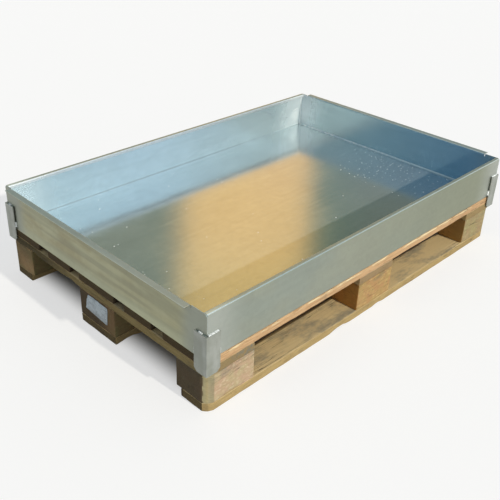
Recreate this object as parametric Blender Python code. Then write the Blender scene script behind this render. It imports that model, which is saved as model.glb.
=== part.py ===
"""Shallow galvanized steel stacking tray with corner guide angles, standing on a four-way wooden pallet.

X runs along the long side, Y along the short side, Z up. The origin is the middle of the pallet's underside.
"""
import math

import bmesh
import bpy
from mathutils import Vector

# Clearance kept between pieces that touch
GAP = 0.0003

# Pallet: three layers of boards on nine blocks
PALLET_LENGTH = 1.200
PALLET_WIDTH = 0.800
WIDE_BOARD = 0.145
NARROW_BOARD = 0.100
OUTER_BOTTOM_BOARD = 0.085
BOTTOM_BOARD_THICKNESS = 0.022
STRINGER_THICKNESS = 0.022
DECK_THICKNESS = 0.022
BLOCK_HEIGHT = 0.078
BLOCK_LENGTH = 0.145
PALLET_CORNER_CUT = 0.010
WOOD_EDGE = 0.002

# Tray: folded sheet, 120 mm high, made to the pallet's length and width
TRAY_HEIGHT = 0.120
SHEET = 0.002
BEND_RADIUS = 0.002
BEND_STEPS = 4
RIM_DEPTH = 0.0135
RIM_LIP = 0.010
FLANGE_REACH = 0.017
FLANGE_CUT_FRONT = 0.050
FLANGE_CUT_REAR = 0.030
RELIEF_WIDTH = 0.002
RELIEF_DEPTH = 0.008
EAR_RADIUS = 0.007
EAR_STEPS = 6

# Guide angles that hang below the tray round the pallet's corners
ANGLE_LEG = 0.040
ANGLE_THICKNESS = 0.003
ANGLE_ROOT_RADIUS = 0.002
ANGLE_ROOT_STEPS = 4
ANGLE_ABOVE_FLOOR = 0.068
ANGLE_DROP = 0.036
ANGLE_CORNER_CUT = 0.009
ANGLE_CLEARANCE = 0.002

# Weld beads
SEAM_LEG = 0.004
SEAM_ROOT = 0.001
SEAM_CROWN = 0.62
BEAD_STATIONS_PER_LUMP = 4
BEAD_LUMP_LENGTH = 0.004
BEAD_LOW = 0.72
BEAD_END = 0.35
BEAD_COVER = 0.8
TOP_BEAD_HEIGHT = 0.003
TOP_BEAD_LONG = 0.030
TOP_BEAD_SHORT = 0.012
TOP_BEAD_INSET = 0.002
SIDE_TACK_LENGTH = 0.016
SIDE_TACK_HEIGHT = 0.007
SIDE_TACK_REACH = 0.0035

# Levels, from the floor up
BOTTOM_TOP = BOTTOM_BOARD_THICKNESS
BLOCK_TOP = BOTTOM_TOP + BLOCK_HEIGHT
STRINGER_TOP = BLOCK_TOP + STRINGER_THICKNESS
DECK_TOP = STRINGER_TOP + DECK_THICKNESS
TRAY_BOTTOM = DECK_TOP + GAP
TRAY_TOP = TRAY_BOTTOM + TRAY_HEIGHT

# Tray walls, measured to their outer faces
TRAY_LENGTH = PALLET_LENGTH
TRAY_WIDTH = PALLET_WIDTH
PAN_LENGTH = TRAY_LENGTH - 2 * (SHEET + GAP)
SEAM_BEVEL = SEAM_LEG + GAP
MID_BEND_RADIUS = BEND_RADIUS + SHEET / 2
ANGLE_TOP = TRAY_BOTTOM + ANGLE_ABOVE_FLOOR
ANGLE_BOTTOM = TRAY_BOTTOM - ANGLE_DROP

SIDES = {"left": -1, "right": 1}
ROWS = {"front": -1, "rear": 1}


def clear_scene():
    for old in list(bpy.data.objects):
        bpy.data.objects.remove(old, do_unlink=True)


def material(name, color, roughness, metallic):
    made = bpy.data.materials.new(name)
    made.use_nodes = True
    shader = made.node_tree.nodes["Principled BSDF"]
    shader.inputs["Base Color"].default_value = (*color, 1.0)
    shader.inputs["Roughness"].default_value = roughness
    shader.inputs["Metallic"].default_value = metallic
    return made


def new_object(name, bm, finish):
    bmesh.ops.remove_doubles(bm, verts=bm.verts, dist=1e-6)
    bmesh.ops.recalc_face_normals(bm, faces=bm.faces)
    mesh = bpy.data.meshes.new(name)
    bm.to_mesh(mesh)
    bm.free()
    mesh.materials.append(finish)
    made = bpy.data.objects.new(name, mesh)
    bpy.context.scene.collection.objects.link(made)
    return made


def add_prism(bm, outline, direction):
    """Adds the closed solid swept by a flat outline along a direction."""
    near = [bm.verts.new(point) for point in outline]
    far = [bm.verts.new(Vector(point) + Vector(direction)) for point in outline]
    bm.faces.new(near)
    bm.faces.new(list(reversed(far)))
    count = len(outline)
    for i in range(count):
        j = (i + 1) % count
        bm.faces.new((near[j], near[i], far[i], far[j]))


def add_bevel(target, width):
    bevel = target.modifiers.new("edge", "BEVEL")
    bevel.width = width
    bevel.segments = 1
    bevel.limit_method = "ANGLE"
    bevel.angle_limit = math.radians(50)


def add_thickness(target, thickness):
    solidify = target.modifiers.new("sheet", "SOLIDIFY")
    solidify.thickness = thickness
    solidify.offset = 0
    solidify.use_even_offset = True


def plan_outline(x0, x1, y0, y1):
    """A rectangle seen from above, with the pallet's corner cut where it holds one of the pallet's corners."""
    outline = []
    for x, y, first, second in (
        (x0, y0, (0, 1), (1, 0)),
        (x1, y0, (-1, 0), (0, 1)),
        (x1, y1, (0, -1), (-1, 0)),
        (x0, y1, (1, 0), (0, -1)),
    ):
        at_end = abs(abs(x) - PALLET_LENGTH / 2) < GAP
        at_side = abs(abs(y) - PALLET_WIDTH / 2) < GAP
        if at_end and at_side:
            cut = PALLET_CORNER_CUT
            outline.append((x + first[0] * cut, y + first[1] * cut))
            outline.append((x + second[0] * cut, y + second[1] * cut))
        else:
            outline.append((x, y))
    return outline


def wooden_piece(name, centre, size, bottom, top, finish):
    """A sawn board or block between two levels, held clear of the layer below it."""
    low = bottom + GAP if bottom > 0 else bottom
    half_x, half_y = size[0] / 2, size[1] / 2
    plan = plan_outline(centre[0] - half_x, centre[0] + half_x, centre[1] - half_y, centre[1] + half_y)
    bm = bmesh.new()
    add_prism(bm, [(x, y, low) for x, y in plan], (0, 0, top - low))
    made = new_object(name, bm, finish)
    add_bevel(made, WOOD_EDGE)
    return made


def block_columns():
    """Name and x of the three block columns, which the stringer boards lie on."""
    reach = PALLET_LENGTH / 2 - BLOCK_LENGTH / 2
    return {"left": -reach, "middle": 0.0, "right": reach}


def three_rows(outer_width):
    """Name, y and width of three rows, the outer ones flush with the pallet's long sides."""
    reach = PALLET_WIDTH / 2 - outer_width / 2
    return {"front": (-reach, outer_width), "middle": (0.0, WIDE_BOARD), "rear": (reach, outer_width)}


def deck_rows():
    """Name, y and width of the five deck boards, with equal gaps between them."""
    names = ("front", "front_inner", "middle", "rear_inner", "rear")
    widths = (WIDE_BOARD, NARROW_BOARD, WIDE_BOARD, NARROW_BOARD, WIDE_BOARD)
    space = (PALLET_WIDTH - sum(widths)) / (len(widths) - 1)
    rows = {}
    edge = -PALLET_WIDTH / 2
    for name, width in zip(names, widths):
        rows[name] = (edge + width / 2, width)
        edge += width + space
    return rows


def build_pallet(board_wood, block_wood, deck_wood):
    for row, (y, width) in three_rows(OUTER_BOTTOM_BOARD).items():
        size = (PALLET_LENGTH, width)
        wooden_piece(f"bottom_board_{row}", (0, y), size, 0, BOTTOM_TOP, board_wood)
    for row, (y, width) in three_rows(NARROW_BOARD).items():
        for column, x in block_columns().items():
            size = (BLOCK_LENGTH, width)
            wooden_piece(f"block_{column}_{row}", (x, y), size, BOTTOM_TOP, BLOCK_TOP, block_wood)
    for column, x in block_columns().items():
        size = (BLOCK_LENGTH, PALLET_WIDTH)
        wooden_piece(f"stringer_board_{column}", (x, 0), size, BLOCK_TOP, STRINGER_TOP, board_wood)
    for row, (y, width) in deck_rows().items():
        size = (PALLET_LENGTH, width)
        wooden_piece(f"deck_board_{row}", (0, y), size, STRINGER_TOP, DECK_TOP, deck_wood)


def bent_path(corners, radius, steps):
    """A chain of straight runs whose inner corners are square bends of one radius."""
    path = [Vector(corners[0])]
    for before, corner, after in zip(corners, corners[1:], corners[2:]):
        corner = Vector(corner)
        back = (Vector(before) - corner).normalized()
        ahead = (Vector(after) - corner).normalized()
        centre = corner + (back + ahead) * radius
        for step in range(steps + 1):
            turn = math.pi / 2 * step / steps
            path.append(centre - ahead * radius * math.cos(turn) - back * radius * math.sin(turn))
    path.append(Vector(corners[-1]))
    return path


def add_strip(bm, path, direction):
    """Adds the band of faces swept by an open path along a direction."""
    near = [bm.verts.new(point) for point in path]
    far = [bm.verts.new(point + Vector(direction)) for point in path]
    for i in range(len(path) - 1):
        bm.faces.new((near[i], near[i + 1], far[i + 1], far[i]))


def pan_line(inset):
    """The pan's cross-section line, set in from its outer faces."""
    wall = TRAY_WIDTH / 2 - inset
    lip = TRAY_WIDTH / 2 - RIM_DEPTH + inset
    floor = TRAY_BOTTOM + inset
    rim = TRAY_TOP - inset
    corners = [
        (0, -lip, TRAY_TOP - RIM_LIP),
        (0, -lip, rim),
        (0, -wall, rim),
        (0, -wall, floor),
        (0, wall, floor),
        (0, wall, rim),
        (0, lip, rim),
        (0, lip, TRAY_TOP - RIM_LIP),
    ]
    return bent_path(corners, BEND_RADIUS + SHEET - inset, BEND_STEPS)


def seam_root(along):
    """Depth of the bevel on the pan's end edges, for the seam's root, at a distance from the end."""
    return SEAM_ROOT * max(0.0, 1 - along / SEAM_BEVEL)


def build_pan(finish):
    """Floor and both long walls, one sheet, each wall with an inward rim and a turned-down lip."""
    bm = bmesh.new()
    outer_rows, inner_rows = [], []
    for sign in (-1, 1):
        for along in (0, SEAM_BEVEL) if sign < 0 else (SEAM_BEVEL, 0):
            shift = Vector((sign * (PAN_LENGTH / 2 - along), 0, 0))
            outer_rows.append(bmesh_ring(bm, [point + shift for point in pan_line(0)]))
            inner_rows.append(bmesh_ring(bm, [point + shift for point in pan_line(SHEET - seam_root(along))]))
    count = len(outer_rows[0])
    for rows in (outer_rows, inner_rows):
        for row, after in zip(rows, rows[1:]):
            for i in range(count - 1):
                bm.faces.new((row[i], row[i + 1], after[i + 1], after[i]))
    for outer, inner in ((outer_rows[0], inner_rows[0]), (outer_rows[-1], inner_rows[-1])):
        for i in range(count - 1):
            bm.faces.new((outer[i], outer[i + 1], inner[i + 1], inner[i]))
    for i in (0, count - 1):
        for j in range(len(outer_rows) - 1):
            bm.faces.new((outer_rows[j][i], outer_rows[j + 1][i], inner_rows[j + 1][i], inner_rows[j][i]))
    new_object("tray_pan", bm, finish)


def add_ear(bm, x, inner, outer, low):
    """Adds the part of an end wall that stands up beside the flange, its outer top corner rounded."""
    hand = math.copysign(1, outer)
    points = [(x, outer, low), (x, inner, low), (x, inner, TRAY_TOP)]
    for step in range(EAR_STEPS + 1):
        turn = math.pi / 2 * step / EAR_STEPS
        y = outer - hand * EAR_RADIUS * (1 - math.sin(turn))
        points.append((x, y, TRAY_TOP - EAR_RADIUS * (1 - math.cos(turn))))
    bm.faces.new(bmesh_ring(bm, points))


def build_end_panel(side, sign, finish):
    """End wall with an outward flange that stops short of both corners, where the wall stands up as an ear."""
    half = SHEET / 2
    x = sign * (TRAY_LENGTH / 2 - half)
    edge = TRAY_WIDTH / 2
    front, rear = FLANGE_CUT_FRONT - edge, edge - FLANGE_CUT_REAR
    relief = TRAY_TOP - RELIEF_DEPTH
    tip = x + sign * (half + FLANGE_REACH)
    bm = bmesh.new()
    stations = (-edge, front - RELIEF_WIDTH, front, rear, rear + RELIEF_WIDTH, edge)
    for y0, y1 in zip(stations, stations[1:]):
        add_strip(bm, [Vector((x, y0, TRAY_BOTTOM)), Vector((x, y0, relief))], (0, y1 - y0, 0))
    add_ear(bm, x, front - RELIEF_WIDTH, -edge, relief)
    add_ear(bm, x, rear + RELIEF_WIDTH, edge, relief)
    corners = [(x, front, relief), (x, front, TRAY_TOP - half), (tip, front, TRAY_TOP - half)]
    add_strip(bm, bent_path(corners, MID_BEND_RADIUS, BEND_STEPS), (0, rear - front, 0))
    made = new_object(f"end_panel_{side}", bm, finish)
    add_thickness(made, SHEET)


def build_end_seam(side, sign, finish):
    """Fillet bead that joins an end panel to the pan: down one wall, across the floor and up the other wall."""
    wall = TRAY_WIDTH / 2 - SHEET
    floor = TRAY_BOTTOM + SHEET
    top = TRAY_TOP - SHEET - BEND_RADIUS
    below_bend = BEND_RADIUS + SEAM_LEG
    crown = SEAM_LEG * SEAM_CROWN
    section = (
        (GAP - seam_root(0), 0),
        (GAP - seam_root(SEAM_LEG), SEAM_LEG),
        (crown, crown),
        (SEAM_LEG, 0),
    )
    bm = bmesh.new()

    def ring(hand, place):
        points = []
        for out, along in section:
            root = seam_root(along)
            bend = (BEND_RADIUS + root) * (1 - math.sqrt(0.5)) - root + GAP
            side_out, height = {
                "top": (out, top),
                "above bend": (out, floor + below_bend),
                "bend": (max(out, bend), floor + max(out, bend)),
                "floor": (below_bend, floor + out),
            }[place]
            points.append((sign * (PAN_LENGTH / 2 - along), hand * (wall - side_out), height))
        return bmesh_ring(bm, points)

    places = ("top", "above bend", "bend", "floor")
    chain = [ring(-1, place) for place in places] + [ring(1, place) for place in reversed(places)]
    close_chain(bm, chain)
    new_object(f"end_seam_weld_{side}", bm, finish)


def bmesh_ring(bm, points):
    return [bm.verts.new(point) for point in points]


def close_chain(bm, chain):
    """Skins a row of rings and caps its two ends."""
    for ring, after in zip(chain, chain[1:]):
        count = len(ring)
        for i in range(count):
            j = (i + 1) % count
            bm.faces.new((ring[i], ring[j], after[j], after[i]))
    bm.faces.new(list(reversed(chain[0])))
    bm.faces.new(chain[-1])


def angle_outline(sign_x, sign_y):
    """Plan outline of an angle whose inner faces stand clear of the tray's corner."""
    inner_x = TRAY_LENGTH / 2 + ANGLE_CLEARANCE
    inner_y = TRAY_WIDTH / 2 + ANGLE_CLEARANCE
    outer_x, outer_y = inner_x + ANGLE_THICKNESS, inner_y + ANGLE_THICKNESS
    toe_x, toe_y = outer_x - ANGLE_LEG, outer_y - ANGLE_LEG
    root = ANGLE_ROOT_RADIUS
    outline = [(toe_x, inner_y), (toe_x, outer_y), (outer_x, outer_y), (outer_x, toe_y), (inner_x, toe_y)]
    for step in range(ANGLE_ROOT_STEPS + 1):
        turn = math.pi / 2 * step / ANGLE_ROOT_STEPS
        x = inner_x - root + root * math.cos(turn)
        y = inner_y - root + root * math.sin(turn)
        outline.append((x, y))
    return [(sign_x * x, sign_y * y) for x, y in outline]


def cut_corner(bm, point, normal):
    """Cuts the solid with a plane, drops the side the normal points to and closes the cut."""
    geometry = bm.verts[:] + bm.edges[:] + bm.faces[:]
    bmesh.ops.bisect_plane(bm, geom=geometry, plane_co=point, plane_no=normal, clear_outer=True)
    rim = [edge for edge in bm.edges if edge.is_boundary]
    bmesh.ops.edgeloop_fill(bm, edges=rim)


def build_guide_angle(name, sign_x, sign_y, finish):
    """Angle welded to the lower half of a tray corner, its free lower corners cut off."""
    bm = bmesh.new()
    outline = [(x, y, ANGLE_BOTTOM) for x, y in angle_outline(sign_x, sign_y)]
    add_prism(bm, outline, (0, 0, ANGLE_TOP - ANGLE_BOTTOM))
    toe_x = sign_x * (TRAY_LENGTH / 2 + ANGLE_CLEARANCE + ANGLE_THICKNESS - ANGLE_LEG)
    toe_y = sign_y * (TRAY_WIDTH / 2 + ANGLE_CLEARANCE + ANGLE_THICKNESS - ANGLE_LEG)
    height = ANGLE_BOTTOM + ANGLE_CORNER_CUT
    cut_corner(bm, (toe_x, 0, height), (-sign_x, 0, -1))
    cut_corner(bm, (0, toe_y, height), (0, -sign_y, -1))
    new_object(name, bm, finish)


def build_bead(name, start, along, out, up, length, width, height, finish):
    """A lumpy bead in the corner between two faces, whose normals are out and up."""
    start, along, out, up = (Vector(v) for v in (start, along, out, up))
    lumps = max(1, round(length / BEAD_LUMP_LENGTH))
    stations = lumps * BEAD_STATIONS_PER_LUMP
    section = ((0, 0), (1, 0), (0.86, 0.42), (0.52, 0.82), (0, 1))
    bm = bmesh.new()
    chain = []
    for station in range(stations + 1):
        part = station / stations
        swell = BEAD_LOW + (1 - BEAD_LOW) * abs(math.sin(math.pi * lumps * part))
        if station in (0, stations):
            swell = BEAD_END
        ring = []
        for a, b in section:
            offset = out * (GAP + a * swell * width) + up * (GAP + b * swell * height)
            ring.append(start + along * length * part + offset)
        chain.append(bmesh_ring(bm, ring))
    close_chain(bm, chain)
    new_object(name, bm, finish)


def build_angle_welds(place, sign_x, sign_y, finish):
    """A bead along the top of each leg and a tack on each free edge, bridging the gap to the tray's wall."""
    corner_x, corner_y = sign_x * TRAY_LENGTH / 2, sign_y * TRAY_WIDTH / 2
    leg_cover = ANGLE_LEG - ANGLE_THICKNESS - ANGLE_CLEARANCE
    width = ANGLE_CLEARANCE + ANGLE_THICKNESS * BEAD_COVER
    tack_low = TRAY_BOTTOM + SIDE_TACK_HEIGHT
    along_x, along_y, up = (-sign_x, 0, 0), (0, -sign_y, 0), (0, 0, 1)
    out_x, out_y = (sign_x, 0, 0), (0, sign_y, 0)

    start = (corner_x - sign_x * TOP_BEAD_INSET, corner_y, ANGLE_TOP)
    name = f"top_weld_side_{place}"
    build_bead(name, start, along_x, out_y, up, TOP_BEAD_LONG, width, TOP_BEAD_HEIGHT, finish)

    start = (corner_x, corner_y - sign_y * (leg_cover - TOP_BEAD_SHORT) / 2, ANGLE_TOP)
    name = f"top_weld_end_{place}"
    build_bead(name, start, along_y, out_x, up, TOP_BEAD_SHORT, width, TOP_BEAD_HEIGHT, finish)

    start = (corner_x - sign_x * leg_cover, corner_y, tack_low)
    name = f"tack_weld_side_{place}"
    build_bead(name, start, up, out_y, along_x, SIDE_TACK_LENGTH, width, SIDE_TACK_REACH, finish)

    start = (corner_x, corner_y - sign_y * leg_cover, tack_low)
    name = f"tack_weld_end_{place}"
    build_bead(name, start, up, out_x, along_y, SIDE_TACK_LENGTH, width, SIDE_TACK_REACH, finish)


def build_tray(sheet_steel, angle_steel, weld_steel):
    build_pan(sheet_steel)
    for side, sign in SIDES.items():
        build_end_panel(side, sign, sheet_steel)
        build_end_seam(side, sign, weld_steel)
    for row, sign_y in ROWS.items():
        for side, sign_x in SIDES.items():
            build_guide_angle(f"guide_angle_{row}_{side}", sign_x, sign_y, angle_steel)
            build_angle_welds(f"{row}_{side}", sign_x, sign_y, weld_steel)


def main():
    clear_scene()
    board_wood = material("board wood", (0.62, 0.47, 0.27), 0.85, 0.0)
    block_wood = material("block wood", (0.55, 0.41, 0.25), 0.85, 0.0)
    deck_wood = material("deck wood", (0.66, 0.45, 0.25), 0.85, 0.0)
    sheet_steel = material("galvanized sheet", (0.55, 0.60, 0.60), 0.35, 1.0)
    angle_steel = material("galvanized angle", (0.60, 0.63, 0.65), 0.45, 1.0)
    weld_steel = material("zinc painted weld", (0.74, 0.76, 0.76), 0.55, 0.8)
    build_pallet(board_wood, block_wood, deck_wood)
    build_tray(sheet_steel, angle_steel, weld_steel)


main()
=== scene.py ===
"""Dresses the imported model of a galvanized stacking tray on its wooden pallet.

The steel keeps its solids and gets rounded edges and zinc.
The pallet's boards and blocks are replaced by worn ones.
"""
import math
import random

import bmesh
import bpy
from mathutils import Matrix, Vector, noise


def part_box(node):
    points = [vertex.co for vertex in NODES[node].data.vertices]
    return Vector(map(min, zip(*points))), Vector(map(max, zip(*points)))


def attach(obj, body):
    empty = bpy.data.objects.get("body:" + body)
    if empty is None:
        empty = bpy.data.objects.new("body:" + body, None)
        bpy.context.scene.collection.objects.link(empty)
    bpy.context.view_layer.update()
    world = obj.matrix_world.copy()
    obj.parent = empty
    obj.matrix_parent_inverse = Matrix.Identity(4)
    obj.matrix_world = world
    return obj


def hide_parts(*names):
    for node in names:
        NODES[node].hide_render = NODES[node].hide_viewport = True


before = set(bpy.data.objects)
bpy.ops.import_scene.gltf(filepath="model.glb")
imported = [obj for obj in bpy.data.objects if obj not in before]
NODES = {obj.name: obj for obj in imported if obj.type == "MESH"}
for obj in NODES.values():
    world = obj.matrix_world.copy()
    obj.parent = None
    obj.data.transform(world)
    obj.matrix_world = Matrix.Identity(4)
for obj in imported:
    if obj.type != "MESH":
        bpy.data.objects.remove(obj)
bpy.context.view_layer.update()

# Camera, in metres, radians and pixels of a 500 x 500 picture
PICTURE = 500
CAMERA_PLACE = Vector((-1.3935, -1.2666, 1.1126))
CAMERA_TARGET = Vector((-0.2008, -0.1139, 0.2))
CAMERA_ROLL = 0.0368
FOCAL_PIXELS = 721.6
PRINCIPAL_POINT = (246.3, 227.6)
SENSOR = 36.0

# Places on the tray
HALF_LENGTH = 0.600
HALF_WIDTH = 0.400
SHEET = 0.002
FLANGE_REACH = 0.017
FLANGE_CUT_FRONT = 0.050
RIM_LIP = 0.389
RIM_LIP_DEPTH = 0.0108
RIM_TOP_DEPTH = 0.0006
TRAY_FLOOR = 0.1463
TRAY_TOP = 0.2643

# Places on the pallet
CORNER_CUT = 0.016
DECK_TOP = 0.144


class Look:
    """A procedural material while its nodes are being linked."""

    def __init__(self, name):
        self.material = bpy.data.materials.new(name)
        self.material.use_nodes = True
        self.tree = self.material.node_tree
        self.tree.nodes.clear()
        self.shader = self.node("ShaderNodeBsdfPrincipled")
        self.node("ShaderNodeOutputMaterial", {"Surface": self.shader.outputs["BSDF"]})
        coordinates = self.node("ShaderNodeTexCoord")
        self.point = coordinates.outputs["Object"]
        self.normal = coordinates.outputs["Normal"]

    def node(self, kind, values=None, **settings):
        made = self.tree.nodes.new(kind)
        for key, value in settings.items():
            setattr(made, key, value)
        for key, value in (values or {}).items():
            if isinstance(value, bpy.types.NodeSocket):
                self.tree.links.new(value, made.inputs[key])
            else:
                made.inputs[key].default_value = value
        return made

    def math(self, operation, *values):
        return self.node("ShaderNodeMath", dict(enumerate(values)), operation=operation).outputs[0]

    def plus(self, first, second):
        return self.math("ADD", first, second)

    def minus(self, first, second):
        return self.math("SUBTRACT", first, second)

    def times(self, first, *others):
        for other in others:
            first = self.math("MULTIPLY", first, other)
        return first

    def most(self, first, *others):
        for other in others:
            first = self.math("MAXIMUM", first, other)
        return first

    def unsigned(self, value):
        return self.math("ABSOLUTE", value)

    def above(self, value, level):
        return self.math("GREATER_THAN", value, level)

    def below(self, value, level):
        return self.math("LESS_THAN", value, level)

    def add_share(self, value, share, base):
        return self.math("MULTIPLY_ADD", value, share, base)

    def sway(self, value, share, base):
        """The base moved up and down by a share of a noise that has its middle at 0.5."""
        return self.add_share(self.minus(value, 0.5), share, base)

    def split(self, vector):
        return self.node("ShaderNodeSeparateXYZ", {0: vector}).outputs

    def placed(self, scale=(1, 1, 1), offset=(0, 0, 0), turn=(0, 0, 0)):
        values = {"Vector": self.point, "Scale": scale, "Location": offset, "Rotation": turn}
        return self.node("ShaderNodeMapping", values).outputs[0]

    def noise(self, vector, scale, detail=2.0, roughness=0.5):
        values = {"Vector": vector, "Scale": scale, "Detail": detail, "Roughness": roughness}
        return self.node("ShaderNodeTexNoise", values).outputs["Fac"]

    def cells(self, vector, scale, **settings):
        return self.node("ShaderNodeTexVoronoi", {"Vector": vector, "Scale": scale}, **settings).outputs

    def remap(self, value, low, high, to_low=0.0, to_high=1.0):
        values = {0: value, 1: low, 2: high, 3: to_low, 4: to_high}
        return self.node("ShaderNodeMapRange", values, interpolation_type="SMOOTHSTEP").outputs[0]

    def mix(self, factor, first, second, blend="MIX"):
        values = {0: factor}
        for key, value in ((6, first), (7, second)):
            values[key] = value if isinstance(value, bpy.types.NodeSocket) else (*value, 1.0)
        return self.node("ShaderNodeMix", values, data_type="RGBA", blend_type=blend).outputs[2]

    def tint(self, factor, color, shade):
        """The colour multiplied by a shade where the factor is 1."""
        return self.mix(factor, color, self.mix(1.0, color, shade, "MULTIPLY"))

    def blend(self, factor, first, second):
        return self.node("ShaderNodeMix", {0: factor, 2: first, 3: second}, data_type="FLOAT").outputs[0]

    def bump(self, height, distance, base=None):
        values = {"Height": height, "Distance": distance, "Strength": 1.0}
        if base is not None:
            values["Normal"] = base
        return self.node("ShaderNodeBump", values).outputs[0]

    def finish(self, **inputs):
        for key, value in inputs.items():
            socket = self.shader.inputs[key.replace("_", " ")]
            if isinstance(value, bpy.types.NodeSocket):
                self.tree.links.new(value, socket)
            else:
                socket.default_value = (*value, 1.0) if isinstance(value, tuple) else value
        return self.material


def seen_directly(tree):
    """1 for what the camera sees, also in a reflection or through glass, and 0 for the light itself."""
    path = tree.nodes.new("ShaderNodeLightPath").outputs
    seen = path["Is Camera Ray"]
    for kind in ("Is Glossy Ray", "Is Transmission Ray"):
        either = tree.nodes.new("ShaderNodeMath")
        either.operation = "MAXIMUM"
        tree.links.new(seen, either.inputs[0])
        tree.links.new(path[kind], either.inputs[1])
        seen = either.outputs[0]
    return seen


# Zinc on the inner faces, on the pan's outer faces and on the end panels' outer faces; the outer faces are
# painted darker and more olive than the inner ones, with brown clouds on the end panels, a painted reflection
# of dark ground
INNER_ZINC = (0.66, 0.74, 0.76)
INNER_ZINC_BLUE = (0.47, 0.66, 0.77)
INNER_ZINC_DULL = (0.66, 0.70, 0.64)
OUTER_ZINC = (0.325, 0.345, 0.275)
OUTER_ZINC_BLUE = (0.30, 0.335, 0.285)
OUTER_ZINC_OLIVE = (0.262, 0.282, 0.20)
OUTER_ZINC_CORNER = (0.44, 0.465, 0.425)
END_ZINC = (0.40, 0.395, 0.25)
END_ZINC_BROWN = (0.25, 0.205, 0.095)
END_ZINC_CORNER = (0.30, 0.32, 0.26)
END_ZINC_BAND_AND_PAINTED_SHADE = (0.21, 0.215, 0.145)
END_ZINC_PALE = (0.45, 0.475, 0.325)

# Rims and flanges: a painted reflection of the sky on their upward faces, painted highlights on their edges
# and a warm painted reflection on the rim's bend; Y stands for the pan and X for the end panels, as the axis
# their walls are across
FLANGE_PAINTED_SKY_REFLECTION = {"X": (0.445, 0.52, 0.52), "Y": (0.46, 0.51, 0.455)}
PAINTED_EDGE_HIGHLIGHT = (0.72, 0.78, 0.71)
PAINTED_BEND_WARMTH = (1.0, 0.94, 0.85)
LIP_ZINC = (0.74, 0.74, 0.74)

# Zinc spray by the welds, and its strength without droplets
SPRAY = {"Y": (0.86, 0.91, 0.89), "X": (0.60, 0.62, 0.66)}
SPRAY_STRENGTH = {"Y": 0.41, "X": 0.38}
DROPLET_STRENGTH = 0.30
SEAM_DIRT = (0.16, 0.18, 0.18)

# Bright specks on the tray's floor: their crowd's middle, and the share of cells that has one
SPECK = (0.92, 0.93, 0.90)
SPECK_CELLS = 80.0
SPECK_CROWD = (0.53, -0.08)
SPECK_SHARE_CROWD, SPECK_SHARE, SPECK_SHARE_LEFT = 0.34, 0.006, 0.022

# How metallic and how rough the sheet is where it is shiny, dull and sprayed
INNER_METAL = {"Y": 0.75, "X": 0.82}
OUTER_METAL, SPRAY_METAL = 0.68, 0.2
INNER_ROUGHNESS, OUTER_ROUGHNESS, SPRAY_ROUGHNESS = 0.145, 0.42, 0.62
LIP_DULLNESS = 0.3


def painted_edge_highlights(look, across, color, outer):
    """Paints highlights on the flange's edges or on the rim's left end, and a warm painted reflection on the
    bend at the rim.
    """
    x, y, _ = look.split(look.point)
    lean = look.split(look.normal)[2]
    if across == "Y":
        bright = look.remap(x, 0.100 - HALF_LENGTH, 0.010 - HALF_LENGTH)
        bend = look.times(look.remap(lean, 0.10, 0.30), look.remap(lean, 0.93, 0.99, 1.0, 0.0))
        # Painted reflection: the rim's bend is tinted warmer
        color = look.tint(look.times(bend, outer), color, PAINTED_BEND_WARMTH)
    else:
        beyond = look.unsigned(x)
        flange_end = HALF_LENGTH + FLANGE_REACH
        rim = look.remap(beyond, flange_end - 0.0028, flange_end - 0.0008, 0.0, 0.55)
        cut = look.unsigned(look.plus(y, HALF_WIDTH - FLANGE_CUT_FRONT))
        cut = look.remap(cut, 0.0012, 0.0026, 1.0, 0.0)
        bright = look.most(rim, look.times(cut, look.remap(beyond, HALF_LENGTH + 0.002, HALF_LENGTH + 0.006)))
    # Painted highlights on upward outer faces: the rim's left end, the flange's outer edge and its cut front
    # end
    return look.mix(look.times(bright, look.remap(lean, 0.5, 0.9), outer), color, PAINTED_EDGE_HIGHLIGHT)


def weld_spray(look, across, inner):
    """How thickly zinc spray covers the inner faces of the walls near their corners."""
    x, y, z = look.split(look.point)
    end = look.minus(HALF_LENGTH - SHEET, look.unsigned(x))
    side = look.minus(HALF_WIDTH - SHEET, look.unsigned(y))
    ragged = look.times(look.minus(look.noise(look.placed(), 28.0, 3.0, 0.6), 0.5), 0.05)
    reach = look.plus(look.most(end, side), ragged)
    if across == "Y":
        haze = look.times(look.remap(reach, 0.020, 0.170, 1.0, 0.0), look.remap(x, -0.5, 0.5, 0.60, 1.0))
    else:
        haze = look.times(look.remap(reach, 0.012, 0.120, 1.0, 0.0), look.remap(y, -0.36, -0.20))
    walls = look.times(look.remap(z, TRAY_FLOOR + 0.0004, TRAY_FLOOR + 0.003), inner)
    droplets = look.remap(look.noise(look.placed(), 420.0, 3.0, 0.7), 0.50, 0.62)
    strength = look.add_share(droplets, DROPLET_STRENGTH, SPRAY_STRENGTH[across])
    spray = look.times(haze, walls, strength)
    if across == "Y":
        off_middle = look.plus(
            look.unsigned(look.minus(end, 0.028)), look.unsigned(look.minus(z, TRAY_FLOOR + 0.042))
        )
        patch = look.remap(look.plus(off_middle, ragged), 0.006, 0.062, 0.75, 0.0)
        spray = look.most(spray, look.times(patch, walls))
    return spray


def fold_seam(look, color):
    """The line where the floor folds up into a long wall: dirty, and sprayed over at its right end."""
    x, y, z = look.split(look.point)
    side = look.minus(HALF_WIDTH - SHEET, look.unsigned(y))
    seam = look.plus(look.unsigned(look.minus(z, TRAY_FLOOR)), look.unsigned(side))
    seam = look.remap(seam, 0.0010, 0.0020, 0.6, 0.0)
    return look.mix(seam, color, look.mix(look.remap(x, 0.40, 0.52), SEAM_DIRT, SPRAY["Y"]))


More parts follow.
